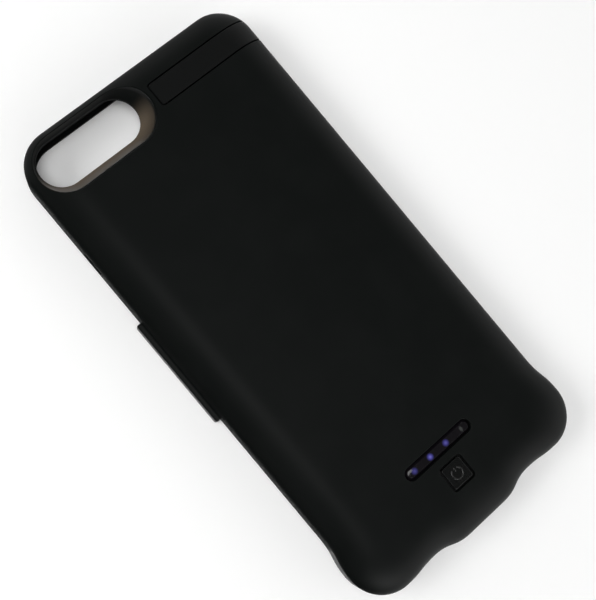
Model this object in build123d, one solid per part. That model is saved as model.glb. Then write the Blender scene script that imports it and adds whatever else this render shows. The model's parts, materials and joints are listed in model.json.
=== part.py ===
from build123d import *
import os
from math import cos, radians, sin, sqrt

# Battery charging case with a stand, lying on its open front.
# +Z points out of the back, +Y to the camera end, +X to the right as seen from the back.
# The origin is on the front rest plane, in the middle of the housing's width and length.

# Driving sizes, in millimetres
# Device that the bay is made for
phone_width = 77.8
phone_length = 158.1
phone_thickness = 7.1
phone_corner = 9.5
phone_clearance = 0.3

# Walls and levels
side_wall = 1.8
top_wall = 1.4
chin_length = 9.5
lip_height = 1.2
lip_width = 1.2
floor_thickness = 1.2
cover_wall = 1.6
joint_clearance = 0.15
spigot_gap = 0.35
front_edge_round = 0.8

# Shape of the back
side_round = 11.5
top_round = 9.5
chin_round = 15.0
round_above_rim = 0.2
top_corner = 11.5
chin_corner = 12.0
corner_shrink = 0.5
flare = 1.5
flare_length = 13.2
bump_half_width = 7.0
bump_depth = 2.6
lobe_depth = 0.85
lobe_from_side = 10.3
port_from_middle = 19.5
section_steps = 5

# Camera window, a funnel that narrows towards the bay
window_from_side = 11.6
window_straight = 21.2
window_from_top = 12.1
window_radius = 9.3
window_waist_straight = 20.5
window_waist_radius = 8.35
window_waist_height = 2.7
window_waist_rise = 0.95
window_waist_shift = 0.5
window_floor_straight = 19.5
window_floor_radius = 7.35
window_floor_rise = 1.85
window_floor_shift = 1.0
window_wall = 1.2

# Stand
stand_from_top = 8.6
stand_width = 7.15
stand_gap = 0.45
stand_thickness = 2.0
stand_under_gap = 0.3
stand_floor = 1.2
stand_frame = 1.7
stand_from_window = 1.45
stand_end_rise = 2.0
pin_diameter = 1.2
pin_depth = 1.4
pin_hold = 1.4
pin_clearance = 0.08
knuckle_radius = 2.0
knuckle_gap = 0.46
nail_depth = 1.0
nail_height = 1.6

# Charge lights
light_row_from_end = 26.15
light_count = 4
light_end_margin = 0.4
slot_length = 25.2
slot_width = 4.2
window_fit = 0.12
window_recess = 0.2
lens_bevel = 0.85
lens_bevel_depth = 0.9
flange_width = 1.2
flange_height = 1.0
led_length = 2.0
led_width = 1.4
led_height = 0.7
led_bevel = 0.18
baffle_wall = 0.9
baffle_cell_width = 3.0
baffle_rim = 0.8

# Button
button_from_end = 17.5
button_size = 7.0
button_corner = 0.6
button_gap = 0.72
button_recess = 0.1
button_edge_round = 0.3
button_flange = 0.3
button_flange_height = 0.7
button_flange_gap = 0.1
button_travel = 0.4
button_stem = 0.5
switch_size = 4.6
switch_corner = 0.6
switch_height = 1.3
plunger_diameter = 2.2
plunger_clearance = 0.15
plunger_end_gap = 0.1

# Cell and main board
cell_from_side = 9.5
cell_from_top = 26.5
cell_from_end = 38.1
cell_thickness = 4.4
cell_edge_round = 1.6
cell_gap = 0.5
pad_thickness = 0.6
pad_inset = 5.0
tab_width = 5.0
tab_thickness = 0.3
tab_from_middle = 12.0
tab_reach = 3.5
board_from_side = 13.0
board_thickness = 0.8
board_from_cell = 2.5
board_end_gap = 2.0
tongue_width = 15.0
tongue_reach = 0.3
boss_diameter = 4.0
screw_diameter = 1.6
screw_head_diameter = 3.0
screw_head_height = 0.9
screw_edge = 3.2
screw_clearance = 0.1
screw_floor = 0.4
chip_size = 5.0
chip_height = 0.9
chip_from_edge = 13.0
inductor_size = 6.6
inductor_height = 2.2
capacitor_length = 2.0
capacitor_width = 1.25
capacitor_height = 0.9
capacitor_count = 4
capacitor_pitch = 2.0

# Plug, inlet and the openings of the chin
end_wall = 1.6
trough_wall = 2.0
trough_floor = 1.4
plug_width = 6.7
plug_thickness = 1.5
plug_reach = 6.6
plug_corner = 0.7
plug_tip_bevel = 0.3
plug_clearance = 0.2
plug_base_width = 11.0
plug_base_depth = 2.0
plug_base_height = 5.0
contact_count = 8
contact_pitch = 0.68
contact_width = 0.4
contact_length = 3.2
contact_height = 0.06
contact_from_tip = 1.2
chin_board_width = 15.0
chin_board_thickness = 0.8
inlet_width = 7.5
inlet_height = 2.6
inlet_corner = 0.8
inlet_sheet = 0.3
inlet_recess = 0.3
inlet_clearance = 0.25
inlet_depth = 4.4
tongue_plate_width = 4.2
tongue_plate_height = 0.7
tongue_plate_gap = 0.8
jack_bore = 6.4
jack_wall = 1.1
sound_width = 13.0
sound_height = 3.0
sound_wall = 1.0

# Side openings for the keys, and the tab at the left
key_from_top = 33.9
key_length = 9.0
keys_from_top = 22.6
keys_length = 40.0
key_slot_height = 4.4
side_tab_from_top = 60.3
side_tab_length = 36.3
side_tab_reach = 1.8
side_tab_height = 6.0
side_tab_round = 0.6
side_tab_edge_round = 0.4

# Levels and places that follow from the driving sizes
bay_width = phone_width + 2 * phone_clearance
bay_length = phone_length + 2 * phone_clearance
bay_corner = phone_corner + phone_clearance
bay_height = phone_thickness
body_width = bay_width + 2 * side_wall
body_length = top_wall + bay_length + chin_length
y_top = body_length / 2
y_end = -body_length / 2
bay_top = y_top - top_wall
bay_end = bay_top - bay_length
bay_middle = (bay_top + bay_end) / 2
z_bay = lip_height + bay_height
z_floor = z_bay + floor_thickness
z_round = z_bay + round_above_rim
z_cell = z_floor + pad_thickness
z_inside = z_cell + cell_thickness + cell_gap
z_back = z_inside + cover_wall
z_phone_middle = lip_height + bay_height / 2

# Reach of a cut past what it cuts, and the handle length of a cubic curve that follows a quarter circle
over = 5.0
handle = 0.5523

# Camera window and stand places
window_left_x = -body_width / 2 + window_from_side
window_right_x = window_left_x + window_straight
window_y = y_top - window_from_top
stand_inner_end = window_right_x + window_radius + stand_from_window
stand_top = y_top - stand_from_top - stand_gap
stand_middle = stand_top - stand_width / 2
pin_z = z_back - pin_depth
bore_radius = knuckle_radius + knuckle_gap
pin_x = stand_inner_end + sqrt(bore_radius**2 - pin_depth**2)
stand_end_z = z_round + stand_end_rise
pocket_depth = stand_thickness + stand_under_gap
pin_length = stand_width + 2 * stand_gap + 2 * pin_hold
knuckle_end_round = knuckle_radius - pin_depth
bore_end_round = bore_radius - pin_depth

# Light and button places
light_y = y_end + light_row_from_end
button_y = y_end + button_from_end
button_hole = button_size + 2 * button_gap
button_top = z_back - button_recess
flange_top = z_inside - button_flange_gap
flange_bottom = flange_top - button_flange_height
plunger_top = flange_bottom - button_stem
plunger_show = button_travel + plunger_end_gap
plunger_depth = (switch_height - button_travel) / 2
light_pitch = (slot_length - light_end_margin) / light_count
light_xs = [light_pitch * (i - (light_count - 1) / 2) for i in range(light_count)]

# Cell and board places
cell_width = body_width - 2 * cell_from_side
board_width = body_width - 2 * board_from_side
chip_x = board_width / 2 - chip_from_edge
z_board_top = plunger_top - plunger_show - switch_height
z_board = z_board_top - board_thickness
board_rise = z_board - z_floor
screw_bite = board_rise + floor_thickness - screw_floor
cell_top = y_top - cell_from_top
cell_end = y_end + cell_from_end
board_top_edge = cell_end - board_from_cell
board_end_edge = bay_end + board_end_gap
trough_top = bay_end - end_wall
plug_base_end = trough_top - plug_base_depth
chin_board_end = plug_base_end - chin_board_thickness
tongue_end = chin_board_end - tongue_reach


def s_bend(start, end, along_x):
    """A cubic curve that leaves and arrives along one axis."""
    (x0, y0), (x1, y1) = start, end
    if along_x:
        middle = (x0 + x1) / 2
        return Bezier(start, (middle, y0), (middle, y1), end)
    middle = (y0 + y1) / 2
    return Bezier(start, (x0, middle), (x1, middle), end)


def round_corner(start, end, along_x):
    """A cubic curve close to a quarter ellipse, leaving along X or along Y."""
    (x0, y0), (x1, y1) = start, end
    dx = handle * (x1 - x0)
    dy = handle * (y1 - y0)
    if along_x:
        return Bezier(start, (x0 + dx, y0), (x1, y1 - dy), end)
    return Bezier(start, (x0, y0 + dy), (x1 - dx, y1), end)


def plan(turn, wall):
    """Outline of the housing, wall inside its surface; turn is 0 at the rim and 90 on the flat back."""
    fade = cos(radians(turn))
    run = 1 - fade
    half = body_width / 2 - wall - (side_round - wall) * run
    top = y_top - wall - (top_round - wall) * run
    bump = y_end + wall + (chin_round - wall) * run
    dip = bump + bump_depth * fade
    lobe = dip - lobe_depth * fade
    corner = (top_corner - wall) * (1 - corner_shrink * run)
    flare_end = lobe + (chin_corner - wall) * (1 - corner_shrink * run)
    flare_start = flare_end + flare_length
    wide = half + flare * fade
    share = half / (body_width / 2)
    lobe_x = (body_width / 2 - lobe_from_side) * share
    dip_x = port_from_middle * share
    bump_x = bump_half_width * share
    right = [
        ((half - corner, top), (half, top - corner), round_corner, True),
        ((half, flare_start), (wide, flare_end), s_bend, False),
        ((wide, flare_end), (lobe_x, lobe), round_corner, False),
        ((lobe_x, lobe), (dip_x, dip), s_bend, True),
        ((dip_x, dip), (bump_x, bump), s_bend, True),
    ]
    curves = [
        Line((corner - half, top), (half - corner, top)),
        Line((half, top - corner), (half, flare_start)),
        Line((-half, top - corner), (-half, flare_start)),
        Line((-bump_x, bump), (bump_x, bump)),
    ]
    for (x0, y0), (x1, y1), curve, along_x in right:
        curves.append(curve((x0, y0), (x1, y1), along_x))
        curves.append(curve((-x0, y0), (-x1, y1), along_x))
    return make_face(curves)


def housing(wall, bottom):
    """The housing's form, wall inside its surface, from bottom to the back."""
    rise = z_back - wall - z_round
    skirt = extrude(Pos(0, 0, bottom) * plan(0, wall), z_round - bottom)
    turns = [90 * i / section_steps for i in range(section_steps + 1)]
    crown = loft([Pos(0, 0, z_round + rise * sin(radians(turn))) * plan(turn, wall) for turn in turns])
    return skirt + crown


def span(x0, x1, y0, y1, z0, z1):
    """A block between six planes."""
    return Pos((x0 + x1) / 2, (y0 + y1) / 2, (z0 + z1) / 2) * Box(x1 - x0, y1 - y0, z1 - z0)


def rod(diameter, start, length, axis):
    """A cylinder from start along an axis."""
    plane = Plane(origin=start, z_dir=axis)
    return extrude(plane * Circle(diameter / 2), length)


def slot(length, width, centre, z0, z1):
    """A block with two round ends, along X."""
    x, y = centre
    return extrude(Pos(x, y, z0) * SlotOverall(length, width), z1 - z0)


def window_section(level, straight, shift, rise, radius):
    """One stadium section of the camera funnel, moved to the left and towards the camera end."""
    x = (window_left_x + window_right_x) / 2 - shift
    return Pos(x, window_y + rise, level) * SlotOverall(straight + 2 * radius, 2 * radius)


def window_floor_section(level, wall):
    """The funnel's narrow end, grown by wall."""
    return window_section(level, window_floor_straight, window_floor_shift, window_floor_rise,
                          window_floor_radius + wall)


def window_funnel(wall):
    """The camera funnel's inner form, grown by wall."""
    sections = [
        window_floor_section(z_floor, wall),
        window_section(z_floor + window_waist_height, window_waist_straight, window_waist_shift,
                       window_waist_rise, window_waist_radius + wall),
        window_section(z_back, window_straight, 0, 0, window_radius + wall),
    ]
    funnel = loft(sections)
    return funnel + extrude(sections[-1], over)


def window_hole(bottom, top):
    """The straight hole under the funnel."""
    return extrude(window_floor_section(bottom, 0), top - bottom)


def stand_slab(grow, inner_end, bottom, top=z_back + over):
    """The block of space over the stand, grown sideways."""
    half = stand_width / 2 + grow
    far = body_width / 2 + over
    return span(inner_end, far, stand_middle - half, stand_middle + half, bottom, top)


def make_rear_cover(form):
    cover = form - housing(cover_wall, z_bay)
    cover += window_funnel(window_wall) & form
    cover = add_stand_pocket(cover, form)
    cover -= window_funnel(0)
    cover -= slot(slot_length, slot_width, (0, light_y), z_inside - over, z_back + over)
    opening = RectangleRounded(button_hole, button_hole, button_corner + button_gap)
    return cover - extrude(Pos(0, button_y, z_inside - over) * opening, over + cover_wall + over)


def add_stand_pocket(cover, form):
    """The recess that takes the stand, its hinge block and the notch for a fingernail at its free end."""
    frame = stand_gap + stand_frame
    frame_end = stand_inner_end - stand_frame
    under = housing(pocket_depth + stand_floor, z_bay)
    cover += (form - under) & stand_slab(frame, frame_end, z_floor + joint_clearance)
    hinge_reach = bore_radius + stand_floor
    hinge_half = stand_width / 2 + frame
    cover += span(frame_end, pin_x + hinge_reach, stand_middle - hinge_half, stand_middle + hinge_half,
                  pin_z - hinge_reach, z_inside)
    cover -= stand_slab(stand_gap, pin_x, stand_end_z - stand_gap) - housing(pocket_depth, z_bay)
    half = stand_width / 2 + stand_gap
    bore = rod(2 * bore_radius, (pin_x, stand_middle - half, pin_z), 2 * half, (0, 1, 0))
    cover -= fillet(bore.edges().filter_by(GeomType.CIRCLE), bore_end_round)
    cover -= make_kickstand_pin()
    notch = stand_slab(stand_gap, pin_x, stand_end_z - nail_height, stand_end_z)
    return cover - (notch - housing(nail_depth, z_bay))


def make_phone_tray():
    tray = extrude(plan(0, 0), z_bay)
    tray = fillet(tray.edges().group_by(Axis.Z)[0], front_edge_round)
    tray += extrude(Pos(0, 0, z_bay) * plan(0, cover_wall + spigot_gap), floor_thickness)
    bay = RectangleRounded(bay_width, bay_length, bay_corner)
    tray -= extrude(Pos(0, bay_middle, lip_height) * bay, bay_height)
    screen = RectangleRounded(bay_width - 2 * lip_width, bay_length - 2 * lip_width, bay_corner - lip_width)
    tray -= extrude(Pos(0, bay_middle, -over) * screen, over + lip_height)
    tray -= window_hole(z_bay - over, z_floor + over)
    trough = extrude(Pos(0, 0, trough_floor) * plan(0, trough_wall), z_floor)
    tray -= trough & span(-body_width, body_width, y_end - over, trough_top, 0, z_floor + over)
    tray += make_chin_ducts(trough)
    tray -= jack_bore_rod(jack_bore)
    tray -= sound_duct(sound_width, sound_height)
    tray -= Pos(0, trough_top + end_wall / 2, z_phone_middle) * Box(
        plug_width + 2 * plug_clearance, 2 * end_wall, plug_thickness + 2 * plug_clearance)
    inlet_hole = RectangleRounded(
        inlet_width + 2 * inlet_clearance, inlet_height + 2 * inlet_clearance, inlet_corner + inlet_clearance)
    outside = Plane(origin=(0, y_end - over, z_phone_middle), x_dir=(1, 0, 0), z_dir=(0, 1, 0))
    tray -= extrude(outside * inlet_hole, over + trough_wall + bump_depth)
    tray -= key_slot(-1, key_from_top, key_length)
    tray -= key_slot(1, keys_from_top, keys_length)
    for x, y in boss_places():
        tray += rod(boss_diameter, (x, y, z_floor), board_rise, (0, 0, 1))
        tray -= rod(screw_diameter + screw_clearance, (x, y, z_board - screw_bite), screw_bite, (0, 0, 1))
    return tray + make_side_tab()


def jack_bore_rod(diameter):
    """The bore through which a headphone plug passes the chin."""
    return rod(diameter, (port_from_middle, y_end - over, z_phone_middle), chin_length + 2 * over, (0, 1, 0))


def sound_duct(width, height):
    """The duct that leads sound from the bay to the chin."""
    x0 = -port_from_middle - width / 2
    x1 = -port_from_middle + width / 2
    z0 = z_phone_middle - height / 2
    return span(x0, x1, y_end - over, bay_end + over, z0, z0 + height)


def make_chin_ducts(trough):
    """Walls round the jack bore and the sound duct where they cross the trough."""
    jack = jack_bore_rod(jack_bore + 2 * jack_wall)
    sound = sound_duct(sound_width + 2 * sound_wall, sound_height + 2 * sound_wall)
    return (jack + sound) & trough & span(-body_width, body_width, y_end, trough_top, 0, z_floor)


def key_slot(side, from_top, length):
    """An opening in a side wall for the keys, with round ends."""
    middle = y_top - from_top - length / 2
    inside = side * (bay_width / 2 - over)
    plane = Plane(origin=(inside, middle, z_phone_middle), x_dir=(0, 1, 0), z_dir=(side, 0, 0))
    return extrude(plane * SlotOverall(length, key_slot_height), over + side_wall + over)


def make_side_tab():
    """The raised tab on the left wall."""
    outside = -body_width / 2 - side_tab_reach
    inside = -body_width / 2 + side_wall / 2
    y1 = y_top - side_tab_from_top
    y0 = y1 - side_tab_length
    tab = span(outside, inside, y0, y1, 0, side_tab_height)
    tab = fillet(tab.edges().filter_by(Axis.X), side_tab_round)
    return fillet(tab.faces().sort_by(Axis.X)[0].edges(), side_tab_edge_round)


def boss_places():
    """The four corners of the board where screws hold it."""
    x = board_width / 2 - screw_edge
    return [(sx * x, y) for sx in (-1, 1) for y in (board_top_edge - screw_edge, board_end_edge + screw_edge)]


def make_kickstand_leaf(form):
    leaf = form - housing(stand_thickness, z_bay)
    leaf &= stand_slab(0, pin_x, stand_end_z)
    half = stand_width / 2
    knuckle = rod(2 * knuckle_radius, (pin_x, stand_middle - half, pin_z), stand_width, (0, 1, 0))
    knuckle = fillet(knuckle.edges().filter_by(GeomType.CIRCLE), knuckle_end_round)
    leaf += knuckle & span(-over, pin_x + over, stand_middle - half, stand_middle + half, 0, z_back)
    bore = pin_diameter + 2 * pin_clearance
    return leaf - rod(bore, (pin_x, stand_middle - half, pin_z), stand_width, (0, 1, 0))


def make_kickstand_pin():
    return rod(pin_diameter, (pin_x, stand_middle - pin_length / 2, pin_z), pin_length, (0, 1, 0))


def make_led_window():
    lens = slot(slot_length - 2 * window_fit, slot_width - 2 * window_fit, (0, light_y),
                z_inside, z_back - window_recess)
    lens = chamfer(lens.edges().group_by(Axis.Z)[-1], lens_bevel_depth, lens_bevel)
    flange = slot(slot_length + 2 * flange_width, slot_width + 2 * flange_width, (0, light_y),
                  z_inside - flange_height, z_inside)
    return lens + flange


def make_light_baffle():
    length = slot_length + 2 * baffle_rim
    width = slot_width + 2 * baffle_rim
    baffle = slot(length, width, (0, light_y), z_board_top, z_inside - flange_height)
    half = (light_pitch - baffle_wall) / 2
    side = baffle_cell_width / 2
    for x in light_xs:
        baffle -= span(x - half, x + half, light_y - side, light_y + side, z_board_top, z_inside)
    return baffle


def make_charge_led(x):
    led = Pos(x, light_y, z_board_top + led_height / 2) * Box(led_length, led_width, led_height)
    top = led.edges().group_by(Axis.Z)[-1]
    return chamfer(top, led_bevel)


def make_power_button():
    cap = RectangleRounded(button_size, button_size, button_corner)
    button = extrude(Pos(0, button_y, flange_bottom) * cap, button_top - flange_bottom)
    button = fillet(button.edges().group_by(Axis.Z)[-1], button_edge_round)
    wide = button_hole + 2 * button_flange
    flange = RectangleRounded(wide, wide, button_corner + button_gap + button_flange)
    button += extrude(Pos(0, button_y, flange_bottom) * flange, button_flange_height)
    stem = rod(switch_size, (0, button_y, plunger_top), flange_bottom - plunger_top, (0, 0, 1))
    return button + stem


def make_tact_switch():
    body = RectangleRounded(switch_size, switch_size, switch_corner)
    switch = extrude(Pos(0, button_y, z_board_top) * body, switch_height)
    bore = plunger_diameter + 2 * plunger_clearance
    depth = plunger_depth + button_travel + plunger_end_gap
    top = z_board_top + switch_height
    return switch - rod(bore, (0, button_y, top - depth), depth, (0, 0, 1))


def make_switch_plunger():
    length = plunger_depth + plunger_show
    return rod(plunger_diameter, (0, button_y, plunger_top - length), length, (0, 0, 1))


def make_main_board():
    half = board_width / 2
    board = span(-half, half, board_end_edge, board_top_edge, z_board, z_board_top)
    half = tongue_width / 2
    board += span(-half, half, tongue_end, board_end_edge, z_board, z_board_top)
    for x, y in boss_places():
        board -= rod(screw_diameter + 2 * screw_clearance, (x, y, z_board), board_thickness, (0, 0, 1))
    return board


def make_board_screws():
    screws = []
    for x, y in boss_places():
        shaft = screw_bite - screw_clearance + board_thickness
        screw = rod(screw_diameter, (x, y, z_board_top - shaft), shaft, (0, 0, 1))
        screw += rod(screw_head_diameter, (x, y, z_board_top), screw_head_height, (0, 0, 1))
        screws.append(screw)
    return screws


def on_board(x, length, width, height):
    """A part that stands on the main board, in line with the button."""
    return Pos(x, button_y, z_board_top + height / 2) * Box(length, width, height)


def make_capacitors():
    xs = [chip_x + chip_size + capacitor_pitch * i for i in range(capacitor_count)]
    return [on_board(x, capacitor_width, capacitor_length, capacitor_height) for x in xs]


def make_battery_cell():
    cell = span(-cell_width / 2, cell_width / 2, cell_end, cell_top, z_cell, z_cell + cell_thickness)
    return fillet(cell.edges().filter_by(Axis.Y), cell_edge_round)


def make_battery_pad():
    half = cell_width / 2 - pad_inset
    return span(-half, half, cell_end + pad_inset, cell_top - pad_inset, z_floor, z_cell)


def make_battery_tab(side):
    x = side * tab_from_middle
    y0 = board_top_edge - tab_reach
    return span(x - tab_width / 2, x + tab_width / 2, y0, cell_end, z_board_top, z_board_top + tab_thickness)


def make_chin_board():
    half = chin_board_width / 2
    return span(-half, half, chin_board_end, plug_base_end, trough_floor, z_board)


def make_plug_base():
    half = plug_base_width / 2
    z0 = z_phone_middle - plug_base_height / 2
    base = span(-half, half, plug_base_end, trough_top, z0, z0 + plug_base_height)
    return fillet(base.edges().filter_by(Axis.Y), plug_corner)


def make_phone_plug():
    blade = RectangleRounded(plug_width, plug_thickness, plug_corner)
    length = end_wall + plug_reach
    plane = Plane(origin=(0, trough_top, z_phone_middle), x_dir=(1, 0, 0), z_dir=(0, 1, 0))
    plug = extrude(plane * blade, length)
    return chamfer(plug.edges().group_by(Axis.Y)[-1], plug_tip_bevel)


def make_plug_contacts():
    y = trough_top + end_wall + plug_reach - contact_from_tip - contact_length / 2
    contact = Box(contact_width, contact_length, contact_height)
    contacts = []
    for i in range(contact_count):
        x = contact_pitch * (i - (contact_count - 1) / 2)
        for side in (-1, 1):
            z = z_phone_middle + side * (plug_thickness + contact_height) / 2
            contacts.append(Pos(x, y, z) * contact)
    return contacts


def inlet_section(inset):
    """The inlet's shell, seen from the chin."""
    return RectangleRounded(inlet_width - 2 * inset, inlet_height - 2 * inset, inlet_corner - inset)


def make_usb_inlet_shell():
    length = chin_board_end - y_end - inlet_recess
    plane = Plane(origin=(0, chin_board_end, z_phone_middle), x_dir=(1, 0, 0), z_dir=(0, -1, 0))
    shell = extrude(plane * inlet_section(0), length)
    mouth = Plane(origin=(0, chin_board_end - length, z_phone_middle), x_dir=(1, 0, 0), z_dir=(0, 1, 0))
    return shell - extrude(mouth * inlet_section(inlet_sheet), inlet_depth)


def make_usb_inlet_tongue():
    mouth = y_end + inlet_recess
    half = tongue_plate_width / 2
    z0 = z_phone_middle - tongue_plate_height / 2
    return span(-half, half, mouth + tongue_plate_gap, mouth + inlet_depth, z0, z0 + tongue_plate_height)


def build():
    """Every node of the case by name."""
    form = housing(0, z_bay)
    nodes = {
        "rear_cover": make_rear_cover(form),
        "phone_tray": make_phone_tray(),
        "kickstand_leaf": make_kickstand_leaf(form),
        "kickstand_pin": make_kickstand_pin(),
        "led_window": make_led_window(),
        "light_baffle": make_light_baffle(),
        "power_button": make_power_button(),
        "switch_plunger": make_switch_plunger(),
        "tact_switch": make_tact_switch(),
        "main_board": make_main_board(),
        "charge_controller": on_board(chip_x, chip_size, chip_size, chip_height),
        "boost_inductor": on_board(-chip_x, inductor_size, inductor_size, inductor_height),
        "filter_capacitors": make_capacitors(),
        "board_screws": make_board_screws(),
        "battery_cell": make_battery_cell(),
        "battery_pad": make_battery_pad(),
        "battery_tab_positive": make_battery_tab(1),
        "battery_tab_negative": make_battery_tab(-1),
        "chin_board": make_chin_board(),
        "plug_base": make_plug_base(),
        "phone_plug": make_phone_plug(),
        "plug_contacts": make_plug_contacts(),
        "usb_inlet_shell": make_usb_inlet_shell(),
        "usb_inlet_tongue": make_usb_inlet_tongue(),
    }
    for number, x in enumerate(light_xs, start=1):
        nodes[f"charge_led_{number}"] = make_charge_led(x)
    return nodes


os.makedirs("parts", exist_ok=True)
for name, shape in build().items():
    solids = Compound(children=shape) if isinstance(shape, list) else shape
    export_step(solids, f"parts/{name}.step")
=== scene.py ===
"""Battery charging case: the modelled shells, the finish of every piece, the stage and the camera."""
import contextlib
import json
import math

import bmesh
import bpy
from mathutils import Matrix, Vector


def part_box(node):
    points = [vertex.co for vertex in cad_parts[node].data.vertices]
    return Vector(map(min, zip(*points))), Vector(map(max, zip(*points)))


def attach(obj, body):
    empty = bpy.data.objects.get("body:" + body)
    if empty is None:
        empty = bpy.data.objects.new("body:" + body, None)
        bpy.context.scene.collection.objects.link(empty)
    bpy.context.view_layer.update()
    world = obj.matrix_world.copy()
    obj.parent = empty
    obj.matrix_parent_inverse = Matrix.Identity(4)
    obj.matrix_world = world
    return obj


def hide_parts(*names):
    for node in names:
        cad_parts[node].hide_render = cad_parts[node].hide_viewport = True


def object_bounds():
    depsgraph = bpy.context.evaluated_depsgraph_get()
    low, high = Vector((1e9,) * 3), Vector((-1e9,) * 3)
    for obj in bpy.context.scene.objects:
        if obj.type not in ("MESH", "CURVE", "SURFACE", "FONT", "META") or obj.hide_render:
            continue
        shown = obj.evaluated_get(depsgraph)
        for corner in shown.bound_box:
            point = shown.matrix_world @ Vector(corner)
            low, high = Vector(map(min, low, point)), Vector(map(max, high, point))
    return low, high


bl_info = {
    "name": "Battery charging case",
    "version": (1, 0, 0),
    "blender": (4, 5, 0),
    "location": "View3D > Sidebar > Case",
    "description": "Models the shells and finishes of a battery charging case around its frame",
    "category": "Object",
}

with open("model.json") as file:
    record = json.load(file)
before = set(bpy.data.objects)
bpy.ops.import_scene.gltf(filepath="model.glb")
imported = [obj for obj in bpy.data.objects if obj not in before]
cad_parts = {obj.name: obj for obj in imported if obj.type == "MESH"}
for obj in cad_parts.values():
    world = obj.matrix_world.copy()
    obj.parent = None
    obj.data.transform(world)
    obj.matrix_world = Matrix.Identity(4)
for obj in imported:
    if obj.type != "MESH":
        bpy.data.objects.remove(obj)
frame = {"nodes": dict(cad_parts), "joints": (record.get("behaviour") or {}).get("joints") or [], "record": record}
cad_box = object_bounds()

MM = 0.001
QUARTER = math.pi / 2
CIRCLE_HANDLE = 0.5523
BLACK = (0.0, 0.0, 0.0)

# Working lengths: a cutter's reach, a short pass beyond a face, the depth under the surface at which joined
# forms end, and the distance that still counts as on it
REACH = 5 * MM
PAST = 1 * MM
SUNK = 0.3 * MM
NEAR = 0.02 * MM

# Shared by several finishes
PAINT_ROUGHNESS = 0.62
GRAIN_DEPTH = 0.02 * MM

# Places and levels read from the frame
mounts = {mount["name"]: mount for mount in frame["record"]["mounts"]}
joints = {joint["name"]: joint for joint in frame["joints"]}
leaf_low, leaf_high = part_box("kickstand_leaf")
lens_low, lens_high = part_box("led_window")
cap_low, cap_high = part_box("power_button")
inlet_low, inlet_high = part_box("usb_inlet_shell")
plug_low, plug_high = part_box("phone_plug")
LIGHT_NODES = tuple(f"charge_led_{number}" for number in (1, 2, 3, 4))
LIGHT_PLACES = [sum(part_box(node), Vector()) / 2 for node in LIGHT_NODES]
CAP_TOP = Vector((0, (cap_low.y + cap_high.y) / 2, cap_high.z))
HINGE = Vector(joints["stand_fold"]["pos_m"])
X_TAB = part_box("phone_tray")[0].x
Y_TOP = cad_box[1][1]
Y_END = cad_box[0][1]
Y_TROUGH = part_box("plug_base")[1].y
Z_BACK = mounts["back_rest"]["pos_m"][2]
Z_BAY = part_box("rear_cover")[0].z
Z_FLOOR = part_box("battery_pad")[0].z
Z_PORTS = (inlet_low.z + inlet_high.z) / 2


def length(label, description, millimetres):
    """A size that a user may change, given in millimetres and held in metres."""
    return bpy.props.FloatProperty(
        name=label, description=description, default=millimetres * MM, unit="LENGTH", precision=5)


def angle(label, description, degrees):
    """An angle that a user may change."""
    return bpy.props.FloatProperty(
        name=label, description=description, default=math.radians(degrees), unit="ROTATION")


def colour(label, description, default):
    """A linear colour that a user may change."""
    return bpy.props.FloatVectorProperty(
        name=label, description=description, default=default, subtype="COLOR", min=0.0, max=1.0)


class HousingSizes(bpy.types.PropertyGroup):
    """Outline and rounding of the moulded housing."""
    width: length("Width", "Width of the housing between its straight sides", 82.0)
    cover_wall: length("Cover wall", "Thickness of the back shell", 1.6)
    side_round: length("Side round", "How far the side rounding reaches in from the edge", 11.5)
    top_round: length("Top round", "How far the rounding of the camera end reaches in", 9.5)
    chin_round: length("Chin round", "How far the rounding of the chin reaches in", 15.0)
    round_start: length("Round start", "Height of the rounding's start over the rim", 0.2)
    top_corner: length("Top corner", "Corner radius at the camera end", 11.5)
    chin_corner: length("Chin corner", "Corner radius at the chin", 12.0)
    corner_shrink: bpy.props.FloatProperty(
        name="Corner shrink", description="Share by which the corners tighten towards the back", default=0.5)
    flare: length("Flare", "How far the chin widens on each side", 1.5)
    flare_length: length("Flare length", "Length over which the chin widens", 13.2)
    bump_half_width: length("Bump half width", "Half of the flat end of the chin", 7.0)
    bump_depth: length("Bump depth", "Depth of the dips beside the chin's middle", 2.6)
    lobe_depth: length("Lobe depth", "How far the outer lobes reach past the dips", 0.85)
    lobe_from_side: length("Lobe from side", "Place of the outer lobes from the side", 10.3)
    port_from_middle: length("Port from middle", "Place of the dips from the middle", 19.5)
    seam_round: length("Seam round", "Rounding of the two shells where they meet", 0.14)


class WindowSizes(bpy.types.PropertyGroup):
    """Camera window, a funnel that narrows towards the bay."""
    from_side: length("From side", "Centre of the left end from the left side", 11.6)
    from_top: length("From top", "Centre line from the camera end", 12.1)
    straight: length("Straight", "Distance between the centres of the two round ends", 21.2)
    radius: length("Radius", "Radius at the back", 9.3)
    waist_straight: length("Waist straight", "Straight length at the waist of the funnel", 20.5)
    waist_radius: length("Waist radius", "Radius at the waist of the funnel", 8.35)
    waist_height: length("Waist height", "Height of the waist over the bay's floor", 2.7)
    waist_rise: length("Waist rise", "Shift of the waist towards the camera end", 0.95)
    waist_shift: length("Waist shift", "Shift of the waist to the left", 0.5)
    floor_straight: length("Floor straight", "Straight length at the bay's floor", 19.5)
    floor_radius: length("Floor radius", "Radius at the bay's floor", 7.35)
    floor_rise: length("Floor rise", "Shift at the bay's floor towards the camera end", 1.85)
    floor_shift: length("Floor shift", "Shift at the bay's floor to the left", 1.0)
    wall: length("Wall", "Thickness of the funnel's wall", 1.2)
    rim_round: length("Rim round", "Rounding of the rim", 0.35)
    rim_roll: length("Rim roll", "How much wider the rim is rounded towards the chin", 0.6)


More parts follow.
